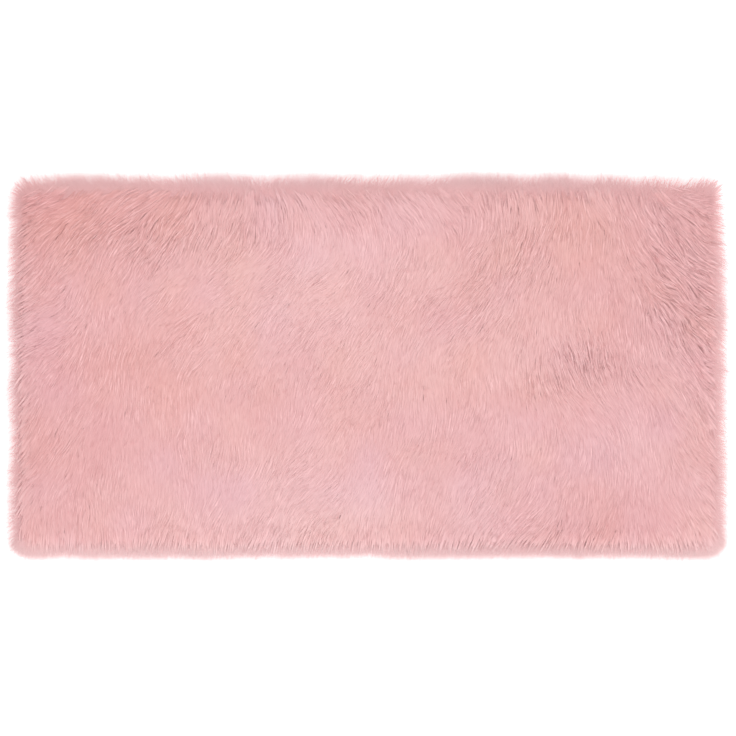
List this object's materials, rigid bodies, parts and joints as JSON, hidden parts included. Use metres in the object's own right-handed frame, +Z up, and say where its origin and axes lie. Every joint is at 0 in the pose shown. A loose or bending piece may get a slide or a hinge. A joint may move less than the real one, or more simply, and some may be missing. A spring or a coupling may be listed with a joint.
{
  "type": "faux sheepskin rug",
  "caption": "Flat rectangular rug of long-pile fake fur with rounded corners, its pile combed over the cut edge all round.",
  "frame": {"origin": "on the floor, under the middle of the rug", "axes": "+X along the long side, +Y from the edge the pile is combed towards to the opposite long edge, +Z up"},
  "size_m": [1.3034, 0.6932, 0.0334],
  "materials": {
    "fake_fur": "dusty pink long-pile knitted acrylic fake fur, combed flat"
  },
  "bodies": {
    "root": {"fur_fabric": "fake_fur"}
  },
  "joints": []
}
